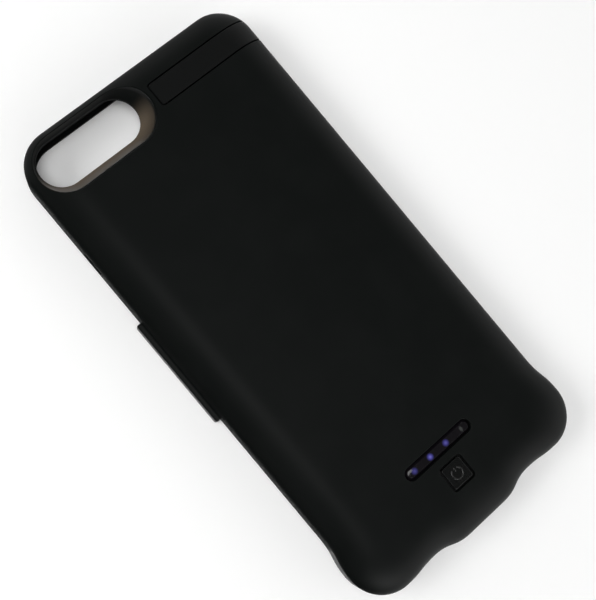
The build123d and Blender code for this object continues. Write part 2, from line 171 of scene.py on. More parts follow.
class StandSizes(bpy.types.PropertyGroup):
    """The flush stand and its pocket."""
    gap: length("Gap", "Seam round the stand", 0.45)
    thickness: length("Thickness", "Thickness of the leaf", 2.0)
    under_gap: length("Under gap", "Room under the leaf", 0.3)
    seat_gap: length("Seat gap", "Room under the walls of the pocket", 0.15)
    floor: length("Floor", "Thickness of the pocket's floor", 1.2)
    border: length("Border", "Width of the wall round the pocket", 1.7)
    knuckle: length("Knuckle", "Radius of the leaf's knuckle", 2.0)
    knuckle_gap: length("Knuckle gap", "Room round the knuckle", 0.46)
    end_land: length("End land", "Flat left at the knuckle's round ends", 0.03)
    pin: length("Pin", "Radius of the bore for the pin", 0.68)
    nail_depth: length("Nail depth", "Depth of the notch for a fingernail", 1.0)
    nail_height: length("Nail height", "Height of the notch under the leaf's end", 1.6)
    edge_round: length("Edge round", "Rounding of the leaf's upper edges", 0.16)


class LightSizes(bpy.types.PropertyGroup):
    """The window of the charge lights."""
    slot_length: length("Slot length", "Length of the slot", 25.2)
    slot_width: length("Slot width", "Width of the slot", 4.2)
    fit: length("Fit", "Gap between the slot and the lens", 0.12)
    recess: length("Recess", "How far the lens lies under the back", 0.2)
    rim_round: length("Rim round", "Rounding of the slot's rim", 0.18)
    bevel: length("Bevel", "Width of the lens's sloping edge", 0.85)
    bevel_depth: length("Bevel depth", "Depth of the lens's sloping edge", 0.9)
    dome: length("Dome", "Rise of the lens's middle", 0.06)
    end_run: length("End run", "Length over which the lens's left end slopes down", 4.0)
    end_drop: length("End drop", "How far the lens's left end slopes down", 0.45)
    dot: length("Dot", "Radius of a lit dot", 0.85)
    glow: bpy.props.FloatVectorProperty(
        name="Glow", description="Brightness of each light", default=(0.55, 1.0, 0.75, 0.0), size=4,
        min=0.0, max=1.0)


class ButtonSizes(bpy.types.PropertyGroup):
    """The power button."""
    size: length("Size", "Side of the square cap", 7.0)
    corner: length("Corner", "Corner radius of the cap", 0.6)
    gap: length("Gap", "Gap round the cap", 0.72)
    edge_round: length("Edge round", "Rounding of the cap's edge", 0.3)
    rim_round: length("Rim round", "Rounding of the hole's rim", 0.07)
    flange: length("Flange", "Width of the flange that holds the cap in", 0.3)
    flange_gap: length("Flange gap", "Room between the flange and the back shell", 0.1)
    flange_height: length("Flange height", "Height of the flange", 0.7)
    stem: length("Stem", "Radius of the stem under the cap", 2.3)
    mark: length("Mark", "Radius of the power mark's ring", 1.72)
    mark_wire: length("Mark wire", "Radius of the mark's raised line", 0.2)
    mark_gap: angle("Mark gap", "Opening of the mark's ring", 64.0)


class TraySizes(bpy.types.PropertyGroup):
    """The front housing with the bay."""
    wall: length("Wall", "Side wall of the bay", 1.8)
    top_wall: length("Top wall", "Wall at the camera end", 1.4)
    bay_length: length("Bay length", "Length of the bay", 158.7)
    bay_corner: length("Bay corner", "Corner radius of the bay", 9.8)
    lip_height: length("Lip height", "Height of the front lip", 1.2)
    lip_width: length("Lip width", "Width of the front lip", 1.2)
    lip_round: length("Lip round", "Rounding of the lip's inner edge", 0.4)
    front_round: length("Front round", "Rounding of the outer front edge", 0.8)
    spigot_gap: length("Spigot gap", "Room between the spigot and the back shell", 0.35)
    trough_wall: length("Trough wall", "Wall of the chin's trough", 2.0)
    trough_floor: length("Trough floor", "Floor of the chin's trough", 1.4)
    jack_bore: length("Jack bore", "Radius of the bore for a headphone plug", 3.2)
    jack_wall: length("Jack wall", "Wall of the bore inside the trough", 1.1)
    sound_width: length("Sound width", "Width of the sound duct", 13.0)
    sound_height: length("Sound height", "Height of the sound duct", 3.0)
    sound_wall: length("Sound wall", "Wall of the sound duct", 1.0)
    plug_gap: length("Plug gap", "Gap round the plug", 0.2)
    inlet_gap: length("Inlet gap", "Gap round the charging inlet", 0.25)
    inlet_corner: length("Inlet corner", "Corner radius of the inlet's hole", 1.05)
    key_height: length("Key height", "Height of the openings for the keys", 4.4)
    side_key_from_top: length("Side key from top", "Left opening from the camera end", 33.9)
    side_key_length: length("Side key length", "Length of the left opening", 9.0)
    volume_keys_from_top: length("Volume keys from top", "Right opening from the camera end", 22.6)
    volume_keys_length: length("Volume keys length", "Length of the right opening", 40.0)
    tab_from_top: length("Tab from top", "Side tab from the camera end", 60.3)
    tab_length: length("Tab length", "Length of the side tab", 36.3)
    tab_height: length("Tab height", "Height of the side tab", 6.0)
    tab_round: length("Tab round", "Rounding of the side tab", 0.5)
    tab_fillet: length("Tab fillet", "Fillet at the root of the side tab", 0.9)
    tab_sink: length("Tab sink", "How far under the wall's surface the fillet ends", 0.03)


class FinishColours(bpy.types.PropertyGroup):
    """Colours of the finishes."""
    soft_touch: colour("Soft touch", "Rubber-like paint of the shells", (0.0029, 0.0037, 0.0034))
    soft_touch_worn: colour("Soft touch, light", "Lighter mottle of the shells", (0.0036, 0.0044, 0.0041))
    # Painted light: a lighter brownish colour for the camera funnel's lit walls, standing in for the light and
    # reflection on them.
    funnel: colour("Funnel", "Bare moulding inside the camera window", (0.104, 0.082, 0.060))
    stand: colour("Stand", "Moulded plastic of the stand", (0.0046, 0.0050, 0.0049))
    lens: colour("Lens", "Smoked lens of the charge lights", (0.0026, 0.0022, 0.0030))
    lens_light: colour("Lens, light", "Lighter cloud in the smoked lens", (0.0060, 0.0050, 0.0066))
    light: colour("Light", "Glow of a lit charge light", (0.050, 0.046, 0.24))
    light_core: colour("Light core", "Middle of a lit charge light", (0.13, 0.12, 0.46))
    light_off: colour("Light, off", "Unlit charge light behind the lens", (0.040, 0.042, 0.041))
    button: colour("Button", "Cap of the button", (0.0022, 0.0025, 0.0024))
    mark: colour("Mark", "Raised mark on the button", (0.0060, 0.0062, 0.0062))
    steel: colour("Steel", "Plug, inlet and screws", (0.62, 0.62, 0.63))
    pin: colour("Pin", "Blackened steel of the hinge pin", (0.012, 0.012, 0.013))
    gold: colour("Gold", "Plug contacts", (0.83, 0.58, 0.20))
    board: colour("Board", "Solder mask of the circuit boards", (0.012, 0.11, 0.05))
    ferrite: colour("Ferrite", "Core of the inductor", (0.08, 0.08, 0.085))
    ceramic: colour("Ceramic", "Fired ceramic of the capacitors", (0.42, 0.26, 0.13))
    foil: colour("Foil", "Laminate round the cell", (0.62, 0.62, 0.64))
    foam: colour("Foam", "Tape under the cell", (0.75, 0.75, 0.72))
    floor: colour("Floor", "Table under the case", (0.93, 0.93, 0.925))
    floor_lift: colour("Floor lift", "Light added where the table is seen", (0.060, 0.060, 0.061))
    floor_far: colour("Floor, far", "Light added where the table is seen far off", (0.45, 0.45, 0.45))
    cloth_left: colour("Left cloth", "Cloth that the left side mirrors", (0.02, 0.02, 0.02))
    cloth_top: colour("Top cloth", "Cloth that the camera end mirrors", (0.35, 0.35, 0.35))
    cloth_right: colour("Right cloth", "Cloth that the right side mirrors", (0.62, 0.62, 0.62))


class StageSizes(bpy.types.PropertyGroup):
    """Camera, table and cloths."""
    tilt: angle("Tilt", "Camera's lean to the left", 13.0)
    roll: angle("Roll", "Turn of the picture", -39.8)
    distance: length("Distance", "From the camera to its aim", 287.5)
    aim_x: length("Aim X", "Aim to the side of the middle", -3.475)
    aim_y: length("Aim Y", "Aim along the case", 0.41)
    lens_mm: bpy.props.FloatProperty(name="Lens", description="Focal length in millimetres", default=60.0)
    floor_size: length("Floor size", "Side of the table", 6000.0)
    cloth_size: length("Cloth size", "Side of a cloth", 900.0)
    cloth_gap: length("Cloth gap", "Gap between a cloth and the case", 3.0)


# Outlines

def straight(start, end):
    """Control points of a straight stretch."""
    start, end = Vector(start), Vector(end)
    return [start, start.lerp(end, 1 / 3), start.lerp(end, 2 / 3), end]


def s_bend(start, end, along_x):
    """Control points of a curve that leaves and arrives along one axis."""
    (x0, y0), (x1, y1) = start, end
    if along_x:
        middle = (x0 + x1) / 2
        controls = [start, (middle, y0), (middle, y1), end]
    else:
        middle = (y0 + y1) / 2
        controls = [start, (x0, middle), (x1, middle), end]
    return [Vector(point) for point in controls]


def round_corner(start, end, along_x):
    """Control points close to a quarter ellipse that leaves along X or along Y."""
    (x0, y0), (x1, y1) = start, end
    dx = CIRCLE_HANDLE * (x1 - x0)
    dy = CIRCLE_HANDLE * (y1 - y0)
    if along_x:
        controls = [start, (x0 + dx, y0), (x1, y1 - dy), end]
    else:
        controls = [start, (x0, y0 + dy), (x1 - dx, y1), end]
    return [Vector(point) for point in controls]


def curve_points(controls, steps):
    """Points along a cubic curve, its end left out."""
    p0, p1, p2, p3 = controls
    points = []
    for i in range(steps):
        t = i / steps
        u = 1 - t
        points.append(u**3 * p0 + 3 * u * u * t * p1 + 3 * u * t * t * p2 + t**3 * p3)
    return points


def housing_outline(sizes, turn, wall):
    """Outline of the housing, wall inside its surface; turn is 0 at the rim and a right angle on the back."""
    fade = math.cos(turn)
    run = 1 - fade
    middle = sizes.width / 2
    half = middle - wall - (sizes.side_round - wall) * run
    top = Y_TOP - wall - (sizes.top_round - wall) * run
    bump = Y_END + wall + (sizes.chin_round - wall) * run
    dip = bump + sizes.bump_depth * fade
    lobe = dip - sizes.lobe_depth * fade
    shrink = 1 - sizes.corner_shrink * run
    corner = (sizes.top_corner - wall) * shrink
    flare_end = lobe + (sizes.chin_corner - wall) * shrink
    flare_start = flare_end + sizes.flare_length
    wide = half + sizes.flare * fade
    share = half / middle
    lobe_x = (middle - sizes.lobe_from_side) * share
    dip_x = sizes.port_from_middle * share
    bump_x = sizes.bump_half_width * share
    stretches = [
        (straight((0, top), (half - corner, top)), 8),
        (round_corner((half - corner, top), (half, top - corner), True), 18),
        (straight((half, top - corner), (half, flare_start)), 24),
        (s_bend((half, flare_start), (wide, flare_end), False), 10),
        (round_corner((wide, flare_end), (lobe_x, lobe), False), 18),
        (s_bend((lobe_x, lobe), (dip_x, dip), True), 12),
        (s_bend((dip_x, dip), (bump_x, bump), True), 12),
        (straight((bump_x, bump), (0, bump)), 4),
    ]
    right = [point for controls, steps in stretches for point in curve_points(controls, steps)]
    right.append(Vector((0, bump)))
    left = [Vector((-point.x, point.y)) for point in reversed(right[1:-1])]
    return right + left


def housing_ring(sizes, wall, level, turn=0.0):
    """The housing's outline as a ring at a height."""
    return [Vector((*point, level)) for point in housing_outline(sizes, turn, wall)]


def stadium_spine(run, arc_steps=20, run_steps=8):
    """Base points and outward directions round a slot along X whose end centres are run apart."""
    spine = []
    for side in (1, -1):
        base = Vector((side * run / 2, 0))
        for i in range(arc_steps + 1):
            turn = math.pi * (i / arc_steps - 0.5)
            spine.append((base, side * Vector((math.cos(turn), math.sin(turn)))))
        for i in range(1, run_steps):
            spine.append((base.lerp(-base, i / run_steps), Vector((0, side))))
    return spine


def rounded_spine(width, height, corner, steps=8):
    """Base points and outward directions round a box with round corners."""
    spine = []
    for quarter, (sx, sy) in enumerate(((1, 1), (-1, 1), (-1, -1), (1, -1))):
        base = Vector((sx * (width / 2 - corner), sy * (height / 2 - corner)))
        for i in range(steps + 1):
            turn = QUARTER * (quarter + i / steps)
            spine.append((base, Vector((math.cos(turn), math.sin(turn)))))
    return spine


def circle_spine(steps):
    """Outward directions round a point."""
    turns = [2 * math.pi * i / steps for i in range(steps)]
    return [(Vector((0, 0)), Vector((math.cos(turn), math.sin(turn)))) for turn in turns]


def ring(spine, centre, radius, level, axis="Z"):
    """One ring of points round a spine, at a level along an axis."""
    order = {"Z": (0, 1, 2), "Y": (0, 2, 1), "X": (2, 0, 1)}[axis]
    points = []
    for base, out in spine:
        place = (*(Vector(centre) + base + out * radius), level)
        points.append(Vector([place[i] for i in order]))
    return points


def even_turns(steps, whole=QUARTER):
    """Angles from nothing to the whole turn, in even steps."""
    return [whole * i / steps for i in range(steps + 1)]


def rounding(radius, steps, whole=QUARTER):
    """Inset and rise along a rounded edge, from its foot to its side."""
    turns = even_turns(steps, whole)
    return [(radius * (1 - math.sin(turn)), radius * (1 - math.cos(turn))) for turn in turns]


def rim_flare(radius, steps=4):
    """Steps outwards and downwards that round a rim, the last one just above the surface."""
    slant = math.radians(78)
    above = 0.1 * radius
    flare = [(rise, -inset) for inset, rise in rounding(radius, steps, slant)]
    return flare + [(radius, above)]


# Modelling steps

def add(name, primitive, **settings):
    """Adds a primitive as the start of a piece, with nothing else selected."""
    bpy.ops.object.select_all(action="DESELECT")
    primitive(**settings)
    piece = bpy.context.active_object
    piece.name = name
    piece.data.name = name
    return piece


@contextlib.contextmanager
def editing(piece, action="SELECT"):
    """Edit mode on one piece alone, with all of it or none of it selected."""
    bpy.ops.object.select_all(action="DESELECT")
    bpy.context.view_layer.objects.active = piece
    piece.select_set(True)
    bpy.ops.object.mode_set(mode="EDIT")
    bpy.ops.mesh.select_all(action=action)
    yield
    bpy.ops.object.mode_set(mode="OBJECT")


def loft_solid(name, rings):
    """A closed solid, extruded from the first ring through the others."""
    circle = bpy.ops.mesh.primitive_circle_add
    piece = add(name, circle, vertices=len(rings[0]), radius=1.0, fill_type="NGON")
    places = piece.data.attributes.new("place", "INT", "POINT")
    for index, item in enumerate(places.data):
        item.value = index
    for vertex, point in zip(piece.data.vertices, rings[0]):
        vertex.co = point
    with editing(piece):
        for points in rings[1:]:
            bpy.ops.mesh.extrude_region_move()
            mesh = bmesh.from_edit_mesh(piece.data)
            place = mesh.verts.layers.int["place"]
            for vertex in mesh.verts:
                if vertex.select:
                    vertex.co = points[vertex[place]]
            bmesh.update_edit_mesh(piece.data)
        bpy.ops.mesh.select_all(action="SELECT")
        bpy.ops.mesh.normals_make_consistent(inside=False)
    piece.data.attributes.remove(piece.data.attributes["place"])
    return piece


def prism(name, spine, centre, radius, levels, axis="Z"):
    """A straight solid round a spine, between two levels."""
    return loft_solid(name, [ring(spine, centre, radius, level, axis) for level in levels])


def rod(name, radius, centre, start, end, end_round=0.0):
    """A round bar along Y, with rounded ends where they are asked for."""
    profile = rounding(end_round, 8) if end_round else [(0.0, 0.0)]
    levels = [(radius - inset, start + rise) for inset, rise in profile]
    levels += [(radius - inset, end - rise) for inset, rise in reversed(profile)]
    spine = circle_spine(64)
    return loft_solid(name, [ring(spine, centre, reach, level, "Y") for reach, level in levels])


def block(name, low, high):
    """A block between two corners."""
    low, high = Vector(low), Vector(high)
    piece = add(name, bpy.ops.mesh.primitive_cube_add, size=1.0, location=(low + high) / 2, scale=high - low)
    bpy.ops.object.transform_apply(location=True, rotation=True, scale=True)
    return piece


def discard(tool):
    """Removes a form that has done its work."""
    mesh = tool.data
    bpy.data.objects.remove(tool)
    bpy.data.meshes.remove(mesh)


def carve(piece, tool, operation="DIFFERENCE"):
    """Cuts, joins or intersects a piece with a tool, which is used up."""
    modifier = piece.modifiers.new("carve", "BOOLEAN")
    modifier.object = tool
    modifier.operation = operation
    modifier.solver = "EXACT"
    bpy.context.view_layer.objects.active = piece
    bpy.ops.object.modifier_apply(modifier=modifier.name)
    discard(tool)
    return piece


def round_edges(piece, choose, width):
    """Rounds the edges that choose picks."""
    with editing(piece, "DESELECT"):
        bpy.ops.mesh.select_mode(type="EDGE")
        mesh = bmesh.from_edit_mesh(piece.data)
        for edge in mesh.edges:
            edge.select_set(choose(edge))
        bmesh.update_edit_mesh(piece.data)
        bpy.ops.mesh.bevel(offset=width, offset_type="OFFSET", segments=3, profile=0.5, clamp_overlap=True)


def smooth(piece, degrees=32):
    """Clears doubled points and shades the piece smooth, with flat faces kept flat."""
    with editing(piece):
        bpy.ops.mesh.remove_doubles(threshold=0.1 * NEAR)
    bpy.ops.object.shade_smooth_by_angle(angle=math.radians(degrees))
    modifier = piece.modifiers.new("flat faces", "WEIGHTED_NORMAL")
    modifier.keep_sharp = True
    modifier.weight = 80
    bpy.ops.object.modifier_apply(modifier=modifier.name)


def fit(piece, body, slot, material, *nodes):
    """Gives a finished piece its finish, its body and the nodes that it stands for."""
    piece.data.materials.clear()
    piece.data.materials.append(material)
    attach(piece, body)
    if nodes:
        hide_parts(*nodes)


# Forms that several pieces share

def housing_form(context, name, wall, seam=0.0):
    """The back's form, wall inside its surface: with a rounded seam, or as a tool from under the rim."""
    sizes = context.scene.case_housing
    back_border = 1.0 * MM
    start = Z_BAY + sizes.round_start
    rise = Z_BACK - wall - start
    foot = [(wall + seam, Z_BAY), (wall, Z_BAY + seam)] if seam else [(wall, Z_BAY - PAST)]
    rings = [housing_ring(sizes, inset, level) for inset, level in foot]
    for turn in even_turns(22):
        rings.append(housing_ring(sizes, wall, start + rise * math.sin(turn), turn))
    piece = loft_solid(name, rings)
    with editing(piece, "DESELECT"):
        bpy.ops.mesh.select_mode(type="FACE")
        mesh = bmesh.from_edit_mesh(piece.data)
        back = max(mesh.faces, key=lambda face: face.calc_center_median().z)
        back.select_set(True)
        bmesh.update_edit_mesh(piece.data)
        bpy.ops.mesh.inset(thickness=back_border)
    return piece


def stand_slab(context, name, grow, inner, bottom, top=Z_BACK + REACH):
    """The block of space over the stand, grown sideways."""
    far = context.scene.case_housing.width / 2 + REACH
    return block(name, (inner, leaf_low.y - grow, bottom), (far, leaf_high.y + grow, top))


def knuckle_rod(stand, name, radius, grow=0.0):
    """A rod on the hinge line, with ends rounded so far that they still meet the back."""
    end_round = radius - (Z_BACK - HINGE.z) - stand.end_land
    return rod(name, radius, (HINGE.x, HINGE.z), leaf_low.y - grow, leaf_high.y + grow, end_round)


def window_centre(context):
    """Middle of the camera window at the back."""
    sizes = context.scene.case_window
    x = -context.scene.case_housing.width / 2 + sizes.from_side + sizes.straight / 2
    return Vector((x, Y_TOP - sizes.from_top))


def funnel_at(sizes, level):
    """Radius, straight length and offset of the camera funnel at a height, on curves through three levels."""
    waist = Z_FLOOR + sizes.waist_height
    floor_offset = Vector((-sizes.floor_shift, sizes.floor_rise))
    waist_offset = Vector((-sizes.waist_shift, sizes.waist_rise))
    sections = {
        Z_FLOOR: (sizes.floor_radius, sizes.floor_straight, floor_offset),
        waist: (sizes.waist_radius, sizes.waist_straight, waist_offset),
        Z_BACK: (sizes.radius, sizes.straight, Vector((0.0, 0.0))),
    }
    radius = 0.0
    run = 0.0
    offset = Vector((0.0, 0.0))
    for height, (section_radius, section_run, section_offset) in sections.items():
        others = [other for other in sections if other != height]
        weight = math.prod((level - other) / (height - other) for other in others)
        radius += weight * section_radius
        run += weight * section_run
        offset += weight * section_offset
    return radius, run, offset


def funnel_form(context, name, wall):
    """The camera funnel's form, grown by wall, from the bay's floor past the back."""
    steps = 12
    top = Z_BACK + 2 * SUNK
    rings = []
    for i in range(steps + 1):
        level = Z_FLOOR + (top - Z_FLOOR) * i / steps
        radius, run, offset = funnel_at(context.scene.case_window, level)
        rings.append(ring(stadium_spine(run), window_centre(context) + offset, radius + wall, level))
    return loft_solid(name, rings)


def funnel_cutter(context, name, surface):
    """The funnel's inside with a rim that is rounded along the housing's surface."""
    sizes = context.scene.case_window
    centre = window_centre(context)
    bpy.context.view_layer.update()

    def over(x, y):
        found, place, _, _ = surface.ray_cast(Vector((x, y, Z_BACK + REACH)), Vector((0, 0, -1)))
        if not found:
            raise RuntimeError("the camera window reaches past the housing")
        return place.z

    def on_wall(base, out, level, grow=0.0):
        radius, run, offset = funnel_at(sizes, level)
        return centre + base * (run / sizes.straight) + offset + out * (radius + grow)

    wall_steps = 10
    settling_rounds = 12
    columns = []
    for base, out in stadium_spine(sizes.straight):
        rim = Z_BACK
        for _ in range(settling_rounds):
            rim = over(*on_wall(base, out, rim))
        roll = sizes.rim_round + sizes.rim_roll * max(-out.y, 0.0)
        high = rim - roll
        column = [Vector((*on_wall(base, out, Z_FLOOR), Z_FLOOR - PAST))]
        for i in range(wall_steps + 1):
            level = Z_FLOOR + (high - Z_FLOOR) * i / wall_steps
            column.append(Vector((*on_wall(base, out, level), level)))
        for grow, drop in rim_flare(roll, 8)[1:]:
            place = on_wall(base, out, high, grow)
            column.append(Vector((*place, over(*place) + drop)))
        column.append(Vector((*on_wall(base, out, high, roll), Z_BACK + PAST)))
        columns.append(column)
    return loft_solid(name, [list(points) for points in zip(*columns)])


# Finishes

class Value:
    """A number socket that takes part in Python expressions."""

    def __init__(self, finish, socket):
        self.finish = finish
        self.socket = socket

    def __add__(self, other):
        return self.finish.maths("ADD", self, other)

    def __radd__(self, other):
        return self.finish.maths("ADD", other, self)

    def __sub__(self, other):
        return self.finish.maths("SUBTRACT", self, other)

    def __rsub__(self, other):
        return self.finish.maths("SUBTRACT", other, self)

    def __mul__(self, other):
        return self.finish.maths("MULTIPLY", self, other)

    def __rmul__(self, other):
        return self.finish.maths("MULTIPLY", other, self)


class Finish:
    """A procedural material, or a world, under construction."""

    def __init__(self, name, kind="materials", place="Object"):
        self.owner = getattr(bpy.data, kind).new(name)
        self.owner.use_nodes = True
        self.tree = self.owner.node_tree
        self.tree.nodes.clear()
        self.place = self.node("ShaderNodeTexCoord").outputs[place]

    def node(self, kind, settings=None, sockets=None):
        """Adds a node, with its settings first and then the values or links of its sockets."""
        made = self.tree.nodes.new(kind)
        for name, value in (settings or {}).items():
            setattr(made, name, value)
        for name, value in (sockets or {}).items():
            socket = made.inputs[name]
            if isinstance(value, Value):
                value = value.socket
            if isinstance(value, bpy.types.NodeSocket):
                self.tree.links.new(value, socket)
            elif socket.type == "RGBA":
                socket.default_value = (*value, 1.0)
            else:
                socket.default_value = value
        return made

    def maths(self, operation, first, second=0.0):
        """A number worked out from one or two numbers."""
        made = self.node("ShaderNodeMath", {"operation": operation}, {0: first, 1: second})
        return Value(self, made.outputs[0])

    def axes(self):
        """The place on the surface, as three numbers."""
        split = self.node("ShaderNodeSeparateXYZ", None, {"Vector": self.place})
        return [Value(self, split.outputs[axis]) for axis in "XYZ"]

    def distance(self, along, aside):
        """Distance from a point, by its two parts."""
        return self.maths("SQRT", along * along + aside * aside)

    def noise(self, scale, detail=2.0):
        """Noise with features of about one over scale metres."""
        sockets = {"Vector": self.place, "Scale": scale, "Detail": detail}
        return Value(self, self.node("ShaderNodeTexNoise", None, sockets).outputs["Fac"])

    def ease(self, value, low, high):
        """0 below low and 1 above high, with a smooth step between."""
        settings = {"interpolation_type": "SMOOTHSTEP"}
        made = self.node("ShaderNodeMapRange", settings, {"Value": value, "From Min": low, "From Max": high})
        return Value(self, made.outputs["Result"])

    def fade(self, value, low, high):
        """1 below low and 0 above high, with a smooth step between."""
        return 1 - self.ease(value, low, high)

    def mix(self, factor, first, second):
        """A colour between two colours."""
        sockets = {"Factor": factor, 6: first, 7: second}
        return self.node("ShaderNodeMix", {"data_type": "RGBA"}, sockets).outputs[2]

    def bump(self, height, strength, distance):
        """A normal that follows a height."""
        sockets = {"Height": height, "Strength": strength, "Distance": distance}
        return self.node("ShaderNodeBump", None, sockets).outputs["Normal"]

    def done(self, **sockets):
        """Adds the shader and the output."""
        named = {name.replace("_", " "): value for name, value in sockets.items()}
        shader = self.node("ShaderNodeBsdfPrincipled", None, named)
        self.node("ShaderNodeOutputMaterial", None, {"Surface": shader.outputs["BSDF"]})
        return self.owner


def soft_touch(finish, dark, light, roughness, painted_light=0.0, painted_light_colour=BLACK):
    """Rubber-like paint with a fine grain and a faint mottle; where the painted-light factor is 1, a lighter
    colour is painted in for light and reflection, with a smoother finish.
    """
    mottle = finish.noise(90.0, 3.0)
    grain = finish.noise(3200.0)
    paint = finish.mix(finish.ease(mottle, 0.3, 0.7), dark, light)
    return finish.done(
        Base_Color=finish.mix(painted_light, paint, painted_light_colour),
        Roughness=roughness + 0.06 * mottle + 0.05 * grain - 0.2 * painted_light,
        Specular_IOR_Level=0.11,
        Normal=finish.bump(grain, 0.12, GRAIN_DEPTH),
    )


def back_finish(context):
    """The back's paint, rubbed smooth on the camera window's rim, with painted light on the funnel's walls that
    face the camera end.
    """
    colours = context.scene.case_colours
    sizes = context.scene.case_window
    radius = sizes.radius
    centre = window_centre(context)
    finish = Finish("soft_touch_back")
    x, y, z = finish.axes()
    past_end = finish.maths("MAXIMUM", finish.maths("ABSOLUTE", x - centre.x) - sizes.straight / 2, 0.0)
    aside = y - centre.y
    away = finish.distance(past_end, aside)
    inside = finish.fade(away, radius - 0.7 * MM, radius - 0.3 * MM)
    # Painted light: inside the funnel, the walls on the chin side, which face the camera end, take a lighter
    # brownish colour that stands in for the light and reflection on them, strongest deep down and fading towards
    # the rim; the walls on the other side, in shade, keep the dark paint.
    shaded_side = finish.ease(aside, -4.0 * MM, 4.0 * MM)
    painted_light = inside * (1 - shaded_side) * (1 - 0.7 * finish.ease(z, Z_FLOOR, Z_BACK))
    rim = (1 - inside) * finish.fade(away, radius + 0.1 * MM, radius + 0.5 * MM)
    rubbed = rim * finish.ease(z, Z_BACK - 0.8 * MM, Z_BACK - 0.4 * MM)
    within = finish.fade(away, radius - 0.05 * MM, radius + 0.15 * MM)
    coarse = within * shaded_side * finish.fade(z, Z_BACK - 2.6 * MM, Z_BACK - 1.6 * MM)
    over_rim = finish.ease(z, Z_BAY, Z_BAY + 4.0 * MM)
    rough = PAINT_ROUGHNESS - 0.22 * over_rim - 0.28 * rubbed + 0.35 * coarse
    return soft_touch(finish, colours.soft_touch, colours.soft_touch_worn, rough, painted_light, colours.funnel)


def front_finish(context):
    """The front housing's paint, rubbed smooth on the side tab."""
    colours = context.scene.case_colours
    finish = Finish("soft_touch_front")
    wall = -context.scene.case_housing.width / 2
    rubbed = finish.fade(finish.axes()[0], wall - 0.25 * MM, wall - 0.05 * MM)
    rough = PAINT_ROUGHNESS - 0.3 * rubbed
    return soft_touch(finish, colours.soft_touch, colours.soft_touch_worn, rough)


def lens_finish(context):
    """Smoked lens with the glow of the lit lights behind it, and the unlit ones as pale marks."""
    colours = context.scene.case_colours
    sizes = context.scene.case_lights
    finish = Finish("smoked_lens")
    x, y, _ = finish.axes()
    glow = 0.0
    core = 0.0
    unlit = 0.0
    for place, brightness in zip(LIGHT_PLACES, sizes.glow):
        squeeze = 1.0 if brightness else 0.6
        away = finish.distance(x - place.x, squeeze * (y - place.y))
        if brightness:
            glow = glow + brightness * finish.fade(away, 0.5 * sizes.dot, 1.5 * sizes.dot)
            core = core + brightness * finish.fade(away, 0.0, 0.8 * sizes.dot)
        else:
            unlit = unlit + finish.fade(away, 0.25 * sizes.dot, 0.8 * sizes.dot)
    smear = finish.noise(700.0)
    smoke = finish.mix(smear, colours.lens, colours.lens_light)
    return finish.done(
        Base_Color=finish.mix(unlit, smoke, colours.light_off),
        Roughness=0.08 + 0.05 * smear,
        Specular_IOR_Level=0.5,
        Emission_Color=finish.mix(glow, BLACK, finish.mix(core, colours.light, colours.light_core)),
        Emission_Strength=1.0,
    )


def gloss_finish(name, base, roughness, metallic=0.0, shine=0.5):
    """Moulded or plated surface with a faint wave and handling marks."""
    finish = Finish(name)
    wave = finish.noise(260.0, 3.0)
    fine = finish.noise(2400.0)
    lighter = tuple(min(1.0, 1.18 * channel) for channel in base)
    return finish.done(
        Base_Color=finish.mix(finish.ease(wave, 0.3, 0.7), base, lighter),
        Roughness=roughness + 0.08 * wave + 0.04 * fine,
        Metallic=metallic,
        Specular_IOR_Level=shine,
        Normal=finish.bump(fine, 0.06, GRAIN_DEPTH),
    )


def floor_finish(context):
    """Plain pale table, lifted to white where it is seen, so that it keeps the case's shadow."""
    colours = context.scene.case_colours
    finish = Finish("pale_table")
    near, far = 0.25, 1.2
    shaded = tuple(0.985 * channel for channel in colours.floor)
    path = finish.node("ShaderNodeLightPath")
    seen = path.outputs["Is Camera Ray"]
    for ray in ("Is Glossy Ray", "Is Transmission Ray"):
        seen = finish.maths("MAXIMUM", seen, path.outputs[ray])
    away = finish.node("ShaderNodeVectorMath", {"operation": "LENGTH"}, {0: finish.place}).outputs["Value"]
    lift = finish.mix(finish.ease(away, near, far), colours.floor_lift, colours.floor_far)
    return finish.done(
        Base_Color=finish.mix(finish.noise(6.0), shaded, colours.floor),
        Roughness=0.85,
        Specular_IOR_Level=0.2,
        Emission_Color=finish.mix(seen, BLACK, lift),
        Emission_Strength=1.0,
    )


# Operators, one for each piece or group

